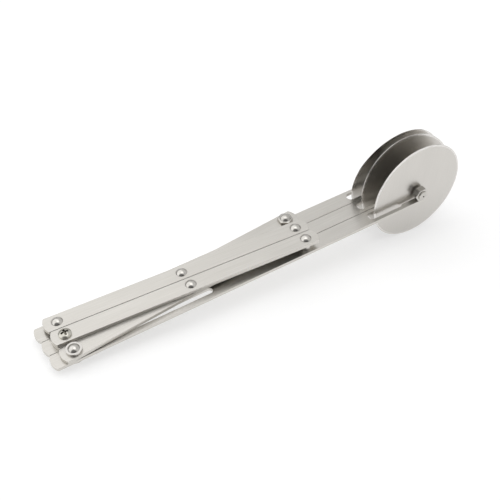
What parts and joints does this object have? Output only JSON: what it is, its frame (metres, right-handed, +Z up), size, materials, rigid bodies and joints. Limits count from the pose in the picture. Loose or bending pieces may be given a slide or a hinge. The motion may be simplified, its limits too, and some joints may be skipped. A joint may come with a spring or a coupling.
{
  "type": "expandable dough cutter",
  "caption": "Hand tool with round steel blades on flat arms; a lazy-tongs lattice of links spreads the arms to cut dough into even strips.",
  "frame": {"origin": "on the ground under the middle of the closed cutter, midway between the handle's tails and the front of the blades", "axes": "+X from the handle to the blades, +Y to the left arm, +Z up; the bars rise towards the blades at the angle at which the cutter lies on a table"},
  "size_m": [0.3352, 0.0415, 0.08],
  "materials": {
    "flat_bar": "stainless flat bar, brushed along its length",
    "blade": "stainless sheet, satin, ground bevel at the edge",
    "fastener": "bright stainless rivets, nuts and screw"
  },
  "bodies": {
    "arm_middle": {"arm_middle": "flat_bar", "axle_middle": "fastener", "axle_nut_middle": "fastener", "pivot_rivet_middle": "fastener", "pivot_spacer_middle": "fastener"},
    "arm_left": {"arm_left": "flat_bar", "axle_left": "fastener", "axle_nut_left": "fastener", "pivot_bolt_left": "fastener", "cap_nut_left": "fastener", "pivot_spacer_left": "fastener"},
    "arm_right": {"arm_right": "flat_bar", "axle_right": "fastener", "axle_nut_right": "fastener", "pivot_rivet_right": "fastener", "pivot_spacer_right": "fastener"},
    "upper_link_left": {"upper_link_left": "flat_bar", "centre_rivet_left": "fastener", "slide_rivet_left": "fastener", "slide_spacer_left": "fastener", "slide_washer_left": "fastener"},
    "upper_link_right": {"upper_link_right": "flat_bar", "centre_rivet_right": "fastener", "lock_screw": "fastener", "lock_washer": "fastener", "lock_nut": "fastener"},
    "lower_link_left": {"lower_link_left": "flat_bar"},
    "lower_link_right": {"lower_link_right": "flat_bar", "slide_rivet_right": "fastener", "slide_collar_right": "fastener", "slide_washer_right": "fastener"},
    "blade_left": {"blade_left": "blade"},
    "blade_middle": {"blade_middle": "blade"},
    "blade_right": {"blade_right": "blade"}
  },
  "joints": [
    {"name": "lattice_open", "type": "hinge", "parent": "arm_middle", "child": "lower_link_right", "pos_m": [0.02696, 0, 0.03101], "axis": [-0.1089, 0, 0.9941], "range_deg": [0, 59.6]},
    {"name": "upper_left_turn", "type": "hinge", "parent": "arm_middle", "child": "upper_link_left", "pos_m": [0.02696, 0, 0.03101], "axis": [0.1089, 0, -0.9941], "range_deg": [0, 59.6]},
    {"name": "lower_left_turn", "type": "hinge", "parent": "upper_link_left", "child": "lower_link_left", "pos_m": [-0.06227, 0.00655, 0.02124], "axis": [-0.1089, 0, 0.9941], "range_deg": [0, 119.2]},
    {"name": "upper_right_turn", "type": "hinge", "parent": "lower_link_right", "child": "upper_link_right", "pos_m": [-0.06227, -0.00655, 0.02124], "axis": [0.1089, 0, -0.9941], "range_deg": [0, 119.2]},
    {"name": "arm_left_turn", "type": "hinge", "parent": "lower_link_left", "child": "arm_left", "pos_m": [0.02696, 0.0131, 0.03101], "axis": [0.1089, 0, -0.9941], "range_deg": [0, 59.6]},
    {"name": "arm_right_turn", "type": "hinge", "parent": "upper_link_right", "child": "arm_right", "pos_m": [0.02696, -0.0131, 0.03101], "axis": [-0.1089, 0, 0.9941], "range_deg": [0, 59.6]},
    {"name": "blade_left_spin", "type": "hinge", "parent": "arm_left", "child": "blade_left", "pos_m": [0.12762, 0.0131, 0.04], "axis": [0.0228, 0.9951, 0.0961], "continuous": true},
    {"name": "blade_middle_spin", "type": "hinge", "parent": "arm_middle", "child": "blade_middle", "pos_m": [0.12762, 0, 0.04], "axis": [0.0578, 0.9947, -0.0845], "continuous": true},
    {"name": "blade_right_spin", "type": "hinge", "parent": "arm_right", "child": "blade_right", "pos_m": [0.12762, -0.0131, 0.04], "axis": [0, 1, 0], "continuous": true}
  ],
  "couplings": [
    {"joint": "upper_left_turn", "follows": "lattice_open", "ratio": 1},
    {"joint": "lower_left_turn", "follows": "lattice_open", "ratio": 2},
    {"joint": "upper_right_turn", "follows": "lattice_open", "ratio": 2},
    {"joint": "arm_left_turn", "follows": "lattice_open", "ratio": 1},
    {"joint": "arm_right_turn", "follows": "lattice_open", "ratio": 1}
  ]
}
